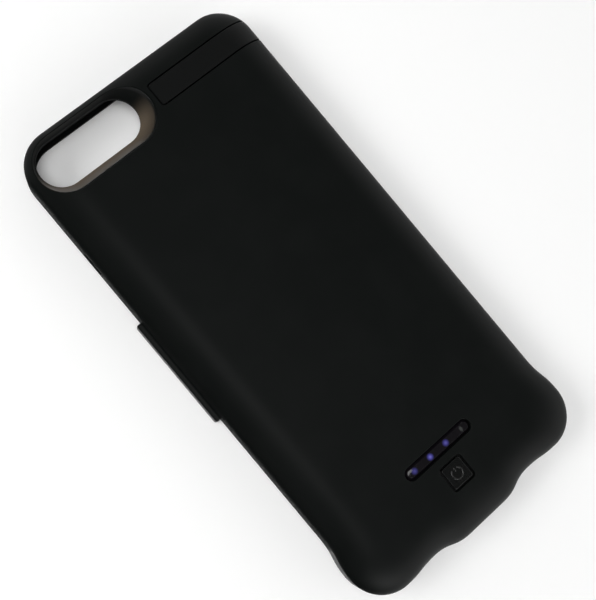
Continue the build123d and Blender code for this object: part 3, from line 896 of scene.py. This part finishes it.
class CASE_OT_rear_cover(bpy.types.Operator):
    """Models the moulded back with its camera funnel, stand pocket and openings"""
    bl_idname = "case.rear_cover"
    bl_label = "Rear cover"

    def execute(self, context):
        housing = context.scene.case_housing
        surface = housing_form(context, "surface", 0.0)
        cover = housing_form(context, "rear_cover_shell", 0.0, housing.seam_round)
        carve(cover, housing_form(context, "hollow", housing.cover_wall))
        funnel = funnel_form(context, "funnel", context.scene.case_window.wall)
        carve(funnel, housing_form(context, "trim", SUNK), "INTERSECT")
        carve(cover, funnel, "UNION")
        self.add_pocket(context, cover, housing, context.scene.case_stand)
        carve(cover, funnel_cutter(context, "window", surface))
        self.cut_holes(cover, context.scene.case_lights, context.scene.case_button)
        discard(surface)
        smooth(cover)
        fit(cover, "case", "soft_touch_black", back_finish(context), "rear_cover")
        return {"FINISHED"}

    def add_pocket(self, context, cover, housing, stand):
        """The stand's seat, and in it the room for the leaf, its knuckle and a fingernail."""
        depth = stand.thickness + stand.under_gap
        bore = stand.knuckle + stand.knuckle_gap
        inner = HINGE.x - math.sqrt(bore**2 - (Z_BACK - HINGE.z) ** 2) - stand.border
        edge = stand.gap + stand.border
        seat = stand_slab(context, "seat", edge, inner, Z_FLOOR + stand.seat_gap)
        carve(seat, housing_form(context, "trim", SUNK), "INTERSECT")
        carve(seat, housing_form(context, "under", depth + stand.floor))
        carve(cover, seat, "UNION")
        reach = bore + stand.floor
        low = (inner, leaf_low.y - edge, HINGE.z - reach)
        high = (HINGE.x + reach, leaf_high.y + edge, Z_BACK - housing.cover_wall / 2)
        carve(cover, block("hinge_block", low, high), "UNION")
        pocket = stand_slab(context, "pocket", stand.gap, HINGE.x, leaf_low.z - stand.gap)
        carve(pocket, housing_form(context, "pocket_floor", depth))
        carve(cover, pocket)
        carve(cover, knuckle_rod(stand, "knuckle_room", bore, stand.gap))
        notch = stand_slab(context, "notch", stand.gap, HINGE.x, leaf_low.z - stand.nail_height, leaf_low.z)
        carve(notch, housing_form(context, "notch_floor", stand.nail_depth))
        carve(cover, notch)

    def cut_holes(self, cover, lights, button):
        """The slot of the charge lights and the button's hole."""
        slot = stadium_spine(lights.slot_length - lights.slot_width, arc_steps=16, run_steps=1)
        self.cut_hole(cover, slot, (0, LIGHT_PLACES[0].y), lights.slot_width / 2, lights.rim_round)
        side = button.size + 2 * button.gap
        corner = button.corner + button.gap
        self.cut_hole(cover, rounded_spine(side, side, corner), CAP_TOP.xy, corner, button.rim_round)

    def cut_hole(self, cover, spine, centre, radius, rim):
        """A straight hole through the flat back with a rounded rim."""
        levels = [(0.0, Z_BACK - REACH)]
        levels += [(grow, Z_BACK + drop) for grow, drop in rim_flare(rim)]
        levels.append((rim, Z_BACK + PAST))
        rings = [ring(spine, centre, radius + grow, level) for grow, level in levels]
        carve(cover, loft_solid("hole", rings))


class CASE_OT_phone_tray(bpy.types.Operator):
    """Models the front housing with its bay, lips, ports and side tab"""
    bl_idname = "case.phone_tray"
    bl_label = "Phone tray"

    def execute(self, context):
        housing = context.scene.case_housing
        sizes = context.scene.case_tray
        tray = self.outer_form(housing, sizes)
        carve(tray, self.bay_cutter(housing, sizes))
        radius, run, offset = funnel_at(context.scene.case_window, Z_FLOOR)
        levels = (Z_BAY - 2 * PAST, Z_FLOOR + 2 * PAST)
        carve(tray, prism("window_hole", stadium_spine(run), window_centre(context) + offset, radius, levels))
        self.cut_trough(tray, housing, sizes)
        self.cut_ports(tray, sizes)
        self.cut_key_slots(tray, housing, sizes)
        self.add_tab(tray, housing, sizes)
        smooth(tray)
        fit(tray, "case", "soft_touch_black", front_finish(context), "phone_tray")
        return {"FINISHED"}

    def outer_form(self, housing, sizes):
        """The front housing's outside and the spigot that enters the back shell."""
        seam = housing.seam_round
        spigot = housing.cover_wall + sizes.spigot_gap
        profile = rounding(sizes.front_round, 6)
        profile += [(0.0, Z_BAY - seam), (seam, Z_BAY), (spigot, Z_BAY), (spigot, Z_FLOOR)]
        return loft_solid("phone_tray_shell", [housing_ring(housing, wall, level) for wall, level in profile])

    def bay_cutter(self, housing, sizes):
        """The bay with the opening inside its lips."""
        width = housing.width - 2 * sizes.wall
        centre = (0, Y_TOP - sizes.top_wall - sizes.bay_length / 2)
        spine = rounded_spine(width, sizes.bay_length, sizes.bay_corner, steps=16)
        profile = [(-sizes.lip_width + grow, -drop) for grow, drop in reversed(rim_flare(sizes.lip_round))]
        profile.insert(0, (profile[0][0], -PAST))
        profile += [(-sizes.lip_width, sizes.lip_height), (0.0, sizes.lip_height), (0.0, Z_BAY)]
        rings = [ring(spine, centre, sizes.bay_corner + grow, level) for grow, level in profile]
        return loft_solid("bay", rings)

    def cut_trough(self, tray, housing, sizes):
        """Hollows the chin, but for the walls of the bore and of the duct."""
        levels = (sizes.trough_floor, Z_FLOOR + REACH)
        trough = loft_solid("trough", [housing_ring(housing, sizes.trough_wall, level) for level in levels])
        low = (-housing.width, Y_END - REACH, -REACH)
        high = (housing.width, Y_TROUGH, Z_FLOOR + 2 * REACH)
        carve(trough, block("chin_end", low, high), "INTERSECT")
        carve(trough, self.jack_rod(housing, sizes.jack_bore + sizes.jack_wall))
        carve(trough, self.sound_block(housing, sizes, sizes.sound_wall))
        carve(tray, trough)
        carve(tray, self.jack_rod(housing, sizes.jack_bore))
        carve(tray, self.sound_block(housing, sizes, 0.0))

    def jack_rod(self, housing, radius):
        """A rod through the chin where a headphone plug passes."""
        return rod("jack", radius, (housing.port_from_middle, Z_PORTS), Y_END - REACH, Y_END + 3 * REACH)

    def sound_block(self, housing, sizes, wall):
        """The sound duct's form, grown by wall."""
        half = Vector((sizes.sound_width / 2 + wall, 2 * REACH, sizes.sound_height / 2 + wall))
        middle = Vector((-housing.port_from_middle, Y_END + REACH, Z_PORTS))
        return block("sound", middle - half, middle + half)

    def cut_ports(self, tray, sizes):
        """Holes for the plug and for the charging inlet."""
        gap = Vector((sizes.plug_gap, 0, sizes.plug_gap))
        low = Vector((plug_low.x, Y_TROUGH - REACH / 2, plug_low.z)) - gap
        high = Vector((plug_high.x, Y_TROUGH + REACH, plug_high.z)) + gap
        carve(tray, block("plug_hole", low, high))
        width = inlet_high.x - inlet_low.x + 2 * sizes.inlet_gap
        height = inlet_high.z - inlet_low.z + 2 * sizes.inlet_gap
        spine = rounded_spine(width, height, sizes.inlet_corner)
        levels = (Y_END - REACH, inlet_high.y)
        carve(tray, prism("inlet_hole", spine, (0, Z_PORTS), sizes.inlet_corner, levels, "Y"))

    def cut_key_slots(self, tray, housing, sizes):
        """Openings beside the keys, with round ends."""
        openings = [(-1, sizes.side_key_from_top, sizes.side_key_length),
                    (1, sizes.volume_keys_from_top, sizes.volume_keys_length)]
        for side, from_top, run in openings:
            spine = stadium_spine(run - sizes.key_height, arc_steps=12, run_steps=1)
            centre = (Y_TOP - from_top - run / 2, Z_PORTS)
            middle = side * housing.width / 2
            levels = (middle - REACH, middle + REACH)
            carve(tray, prism("key_slot", spine, centre, sizes.key_height / 2, levels, "X"))

    def add_tab(self, tray, housing, sizes):
        """The raised tab on the left wall."""
        y1 = Y_TOP - sizes.tab_from_top
        y0 = y1 - sizes.tab_length
        ends = rounding(sizes.tab_round, 4)
        levels = [(y0 + rise, inset) for inset, rise in ends]
        levels += [(y1 - rise, inset) for inset, rise in reversed(ends)]
        rings = [self.tab_section(housing, sizes, level, inset) for level, inset in levels]
        carve(tray, loft_solid("tab", rings), "UNION")

    def tab_section(self, housing, sizes, y, inset):
        """Section of the tab at one place along the side, drawn in by inset near its ends."""
        inside = (sizes.wall - housing.width) / 2
        root = -housing.width / 2 + sizes.tab_sink
        outside = X_TAB + inset
        top = sizes.tab_height - inset
        corner = rounding(sizes.tab_round, 6)
        outline = [(inside, inset)]
        outline += [(outside + across, inset + rise) for across, rise in corner]
        outline += [(outside + rise, top - across) for across, rise in corner]
        outline += [(root - across, top + rise) for across, rise in rounding(sizes.tab_fillet, 6)]
        outline.append((inside, top + sizes.tab_fillet))
        return [Vector((x, y, z)) for x, z in outline]


class CASE_OT_kickstand(bpy.types.Operator):
    """Models the stand that lies flush in the back"""
    bl_idname = "case.kickstand"
    bl_label = "Kickstand"

    def execute(self, context):
        stand = context.scene.case_stand
        colours = context.scene.case_colours
        leaf = stand_slab(context, "kickstand", 0.0, HINGE.x, leaf_low.z)
        carve(leaf, housing_form(context, "underside", stand.thickness))
        carve(leaf, knuckle_rod(stand, "knuckle", stand.knuckle), "UNION")
        carve(leaf, housing_form(context, "trim", 0.0), "INTERSECT")
        bore_ends = (leaf_low.y - REACH, leaf_high.y + REACH)
        carve(leaf, rod("pin_bore", stand.pin, (HINGE.x, HINGE.z), *bore_ends))
        self.round_upper_edges(context, leaf, stand)
        smooth(leaf)
        material = soft_touch(Finish("stand_matt"), colours.stand, colours.stand, 0.38)
        fit(leaf, "kickstand", "stand_black", material, "kickstand_leaf")
        return {"FINISHED"}

    def round_upper_edges(self, context, leaf, stand):
        """Rounds the leaf's edges that lie on the back's surface, from the hinge outwards."""
        sharp = math.radians(35)
        surface = housing_form(context, "surface", 0.0)
        bpy.context.view_layer.update()

        def upper(edge):
            ends = [vertex.co for vertex in edge.verts]
            if min(end.x for end in ends) < HINGE.x - NEAR:
                return False
            outside = all((surface.closest_point_on_mesh(end)[1] - end).length < NEAR for end in ends)
            return outside and edge.is_manifold and edge.calc_face_angle() > sharp

        round_edges(leaf, upper, stand.edge_round)
        discard(surface)


class CASE_OT_light_window(bpy.types.Operator):
    """Models the smoked lens over the charge lights"""
    bl_idname = "case.light_window"
    bl_label = "Light window"

    def execute(self, context):
        sizes = context.scene.case_lights
        shoulder = Z_BACK - context.scene.case_housing.cover_wall
        top = Z_BACK - sizes.recess
        flange = (lens_high.y - lens_low.y) / 2
        radius = sizes.slot_width / 2 - sizes.fit
        face = radius - sizes.bevel
        levels = [(flange, lens_low.z), (flange, shoulder), (radius, shoulder)]
        levels.append((radius, top - sizes.dome - sizes.bevel_depth))
        for turn in even_turns(10)[:-1]:
            levels.append((face * math.cos(turn), top - sizes.dome * (1 - math.sin(turn))))
        spine = stadium_spine(sizes.slot_length - sizes.slot_width, run_steps=40)
        centre = (0, LIGHT_PLACES[0].y)
        lens = loft_solid("light_lens", [ring(spine, centre, reach, level) for reach, level in levels])
        end_start = sizes.slot_length / 2 - sizes.fit - sizes.bevel - sizes.end_run
        for vertex in lens.data.vertices:
            past = max(-vertex.co.x - end_start, 0.0) / sizes.end_run
            if vertex.co.z > top - 2 * sizes.dome:
                vertex.co.z -= sizes.end_drop * past**2
        smooth(lens, 40)
        fit(lens, "case", "window_gloss", lens_finish(context), "led_window")
        return {"FINISHED"}


class CASE_OT_power_button(bpy.types.Operator):
    """Models the square cap and its raised power mark"""
    bl_idname = "case.power_button"
    bl_label = "Power button"

    def execute(self, context):
        sizes = context.scene.case_button
        colours = context.scene.case_colours
        cap = self.make_cap(sizes, context.scene.case_housing.cover_wall)
        smooth(cap, 40)
        satin = gloss_finish("button_cap", colours.button, 0.20, shine=0.35)
        fit(cap, "button", "button_black", satin, "power_button")
        mark = self.make_mark(sizes)
        smooth(mark, 60)
        fit(mark, "button", "button_black", gloss_finish("button_mark", colours.mark, 0.06, shine=0.75))
        return {"FINISHED"}

    def make_cap(self, sizes, cover_wall):
        """The cap with its flange and stem."""
        centre = CAP_TOP.xy
        wide = cap_high.x - cap_low.x
        flange = sizes.corner + sizes.gap + sizes.flange
        flange_top = Z_BACK - cover_wall - sizes.flange_gap
        flange_low = flange_top - sizes.flange_height
        flange_spine = rounded_spine(wide, wide, flange)
        cap_spine = rounded_spine(sizes.size, sizes.size, sizes.corner)
        rings = [ring(flange_spine, centre, flange, level) for level in (flange_low, flange_top)]
        rings.append(ring(cap_spine, centre, sizes.corner, flange_top))
        for drop, inset in rounding(sizes.edge_round, 5):
            rings.append(ring(cap_spine, centre, sizes.corner - inset, CAP_TOP.z - drop))
        cap = loft_solid("button_cap", rings)
        levels = (cap_low.z, flange_low + sizes.flange_height / 2)
        return carve(cap, prism("stem", circle_spine(48), centre, sizes.stem, levels), "UNION")

    def make_mark(self, sizes):
        """A ring with an opening at the top and a bar in it, half as high as they are wide."""
        flat = 0.5
        sides = 16
        circle = bpy.ops.mesh.primitive_circle_add
        mark = add("button_mark", circle, vertices=sides, radius=sizes.mark_wire, fill_type="NGON")
        turn = Matrix.Rotation(sizes.mark_gap / 2, 3, "Z")
        for vertex in mark.data.vertices:
            x, y, _ = vertex.co
            vertex.co = CAP_TOP + turn @ Vector((0.0, sizes.mark + x, flat * y))
        with editing(mark):
            bpy.ops.mesh.spin(steps=48, angle=sizes.mark_gap - 2 * math.pi, center=CAP_TOP, axis=(0, 0, 1))
            bpy.ops.mesh.select_all(action="SELECT")
            bpy.ops.mesh.normals_make_consistent(inside=False)
        low = CAP_TOP.y + 0.35 * sizes.mark
        high = CAP_TOP.y + 1.1 * sizes.mark
        taper = sizes.mark_wire / 2
        rings = []
        for level, share in ((low, 0.5), (low + taper, 1.0), (high - taper, 1.0), (high, 0.5)):
            points = ring(circle_spine(sides), (0.0, 0.0), share * sizes.mark_wire, level, "Y")
            rings.append([Vector((point.x, point.y, CAP_TOP.z + flat * point.z)) for point in points])
        return carve(mark, loft_solid("bar", rings), "UNION")


class CASE_OT_inner_parts(bpy.types.Operator):
    """Gives the plug, the inlet, the boards, the cell and the small parts their finishes"""
    bl_idname = "case.inner_parts"
    bl_label = "Inner parts"

    def execute(self, context):
        colours = context.scene.case_colours
        plated = ("phone_plug", "usb_inlet_shell", "board_screws", "tact_switch",
                  "battery_tab_positive", "battery_tab_negative")
        moulded = ("light_baffle", "plug_base", "usb_inlet_tongue", "switch_plunger", "charge_controller")
        finishes = {
            gloss_finish("plated_steel", colours.steel, 0.22, 1.0): plated,
            gloss_finish("gold_plate", colours.gold, 0.2, 1.0): ("plug_contacts",),
            gloss_finish("blackened_steel", colours.pin, 0.45, 1.0): ("kickstand_pin",),
            gloss_finish("moulded_black", colours.soft_touch_worn, 0.45): moulded,
            gloss_finish("solder_mask", colours.board, 0.3): ("main_board", "chin_board"),
            gloss_finish("ferrite", colours.ferrite, 0.6): ("boost_inductor",),
            gloss_finish("fired_ceramic", colours.ceramic, 0.5): ("filter_capacitors",),
            gloss_finish("foil_laminate", colours.foil, 0.35, 1.0): ("battery_cell",),
            gloss_finish("foam_tape", colours.foam, 0.9): ("battery_pad",),
            gloss_finish("light_chip", colours.light_core, 0.3): LIGHT_NODES,
        }
        for material, nodes in finishes.items():
            for node in nodes:
                frame["nodes"][node].material_slots[0].material = material
        return {"FINISHED"}


class CASE_OT_stage(bpy.types.Operator):
    """Sets up the table, the lights and the camera"""
    bl_idname = "case.stage"
    bl_label = "Stage"

    def execute(self, context):
        stage = context.scene.case_stage
        self.add_floor(context, stage)
        self.add_cloths(context, stage)
        self.add_world(context)
        self.add_lamps(context)
        self.add_camera(context, stage)
        context.scene.view_settings.view_transform = "Standard"
        return {"FINISHED"}

    def add_floor(self, context, stage):
        """The table, which fills the picture."""
        floor = add("table", bpy.ops.mesh.primitive_plane_add, size=stage.floor_size)
        floor.data.materials.append(floor_finish(context))

    def add_cloths(self, context, stage):
        """Cloths on the table round the case, which only show in what the case mirrors."""
        low, high = cad_box
        reach = stage.cloth_size / 2 + stage.cloth_gap
        places = {
            "cloth_left": (low[0] - reach, 0),
            "cloth_top": (0, high[1] + reach),
            "cloth_right": (high[0] + reach, 0),
        }
        plane = bpy.ops.mesh.primitive_plane_add
        layer_gap = 0.1 * MM
        for layer, (name, place) in enumerate(places.items(), 1):
            cloth = add(name, plane, size=stage.cloth_size, location=(*place, layer_gap * layer))
            shade = getattr(context.scene.case_colours, name)
            cloth.data.materials.append(gloss_finish(name, shade, 0.9))
            for kind in ("camera", "diffuse", "transmission", "shadow"):
                setattr(cloth, f"visible_{kind}", False)

    def add_world(self, context):
        """Bright surroundings low down and a dim ceiling, as in a tent of white cloth."""
        sky = Finish("studio", "worlds", "Generated")
        context.scene.world = sky.owner
        x, y, z = sky.axes()
        ceiling = sky.ease(z, 0.30, 0.85)
        right = sky.ease(x, -0.9, -0.1)
        cloth = (0.18 + 0.97 * right) * (1 - 0.4 * y) * (1 - ceiling) + 0.09 * ceiling
        lit = sky.node("ShaderNodeBackground", None, {"Color": (1.0, 1.0, 1.0), "Strength": cloth})
        sky.node("ShaderNodeOutputWorld", None, {"Surface": lit.outputs["Background"]})

    def add_lamps(self, context):
        """Soft boxes, each with its place, size, power, and whether it is mirrored and whether it fills."""
        lamps = {
            "key_box": ((-0.27, -0.02, 1.10), (0.45, 0.45), 2.2, True, True),
            "chin_box": ((-0.40, -0.80, 0.42), (0.55, 0.30), 2.2, True, False),
            "overhead_fill": ((-0.20, 0.02, 1.20), (0.60, 0.60), 4.2, False, True),
            "left_fill": ((-0.80, 0.48, 0.78), (0.70, 0.50), 6.6, False, True),
        }
        for name, (place, size, power, mirrored, fills) in lamps.items():
            data = bpy.data.lights.new(name, "AREA")
            data.shape = "RECTANGLE"
            data.size, data.size_y = size
            data.energy = power
            lamp = bpy.data.objects.new(name, data)
            lamp.location = place
            lamp.visible_glossy = mirrored
            lamp.visible_diffuse = fills
            lamp.rotation_euler = (-Vector(place)).to_track_quat("-Z", "Y").to_euler()
            context.scene.collection.objects.link(lamp)

    def add_camera(self, context, stage):
        """A camera that leans to the left over the case and is rolled."""
        toward = Vector((-math.sin(stage.tilt), 0.0, math.cos(stage.tilt)))
        across = Vector((math.cos(stage.tilt), 0.0, math.sin(stage.tilt)))
        along = Vector((0.0, 1.0, 0.0))
        right = math.cos(stage.roll) * across + math.sin(stage.roll) * along
        up = math.cos(stage.roll) * along - math.sin(stage.roll) * across
        data = bpy.data.cameras.new("camera")
        data.lens = stage.lens_mm
        data.sensor_width = 36.0
        data.clip_start = 0.01
        camera = bpy.data.objects.new("camera", data)
        place = Vector((stage.aim_x, stage.aim_y, Z_BACK)) + stage.distance * toward
        camera.matrix_world = Matrix.Translation(place) @ Matrix((right, up, toward)).transposed().to_4x4()
        context.scene.collection.objects.link(camera)
        context.scene.camera = camera


class CASE_PT_panel(bpy.types.Panel):
    """Lists the pieces of the case and their sizes"""
    bl_label = "Battery charging case"
    bl_idname = "CASE_PT_panel"
    bl_space_type = "VIEW_3D"
    bl_region_type = "UI"
    bl_category = "Case"

    def draw(self, context):
        for operator in OPERATORS:
            self.layout.operator(operator.bl_idname)
        for name, group in GROUPS.items():
            box = self.layout.box()
            box.label(text=group.__doc__)
            for size in group.__annotations__:
                box.prop(getattr(context.scene, name), size)


OPERATORS = (
    CASE_OT_rear_cover,
    CASE_OT_phone_tray,
    CASE_OT_kickstand,
    CASE_OT_light_window,
    CASE_OT_power_button,
    CASE_OT_inner_parts,
    CASE_OT_stage,
)
GROUPS = {
    "case_housing": HousingSizes,
    "case_window": WindowSizes,
    "case_stand": StandSizes,
    "case_lights": LightSizes,
    "case_button": ButtonSizes,
    "case_tray": TraySizes,
    "case_colours": FinishColours,
    "case_stage": StageSizes,
}


def register():
    for name, group in GROUPS.items():
        bpy.utils.register_class(group)
        setattr(bpy.types.Scene, name, bpy.props.PointerProperty(type=group))
    for operator in OPERATORS:
        bpy.utils.register_class(operator)
    bpy.utils.register_class(CASE_PT_panel)


def unregister():
    bpy.utils.unregister_class(CASE_PT_panel)
    for operator in reversed(OPERATORS):
        bpy.utils.unregister_class(operator)
    for name, group in GROUPS.items():
        delattr(bpy.types.Scene, name)
        bpy.utils.unregister_class(group)


def main():
    register()
    bpy.ops.case.rear_cover()
    bpy.ops.case.phone_tray()
    bpy.ops.case.kickstand()
    bpy.ops.case.light_window()
    bpy.ops.case.power_button()
    bpy.ops.case.inner_parts()
    bpy.ops.case.stage()


if __name__ == "__main__":
    main()
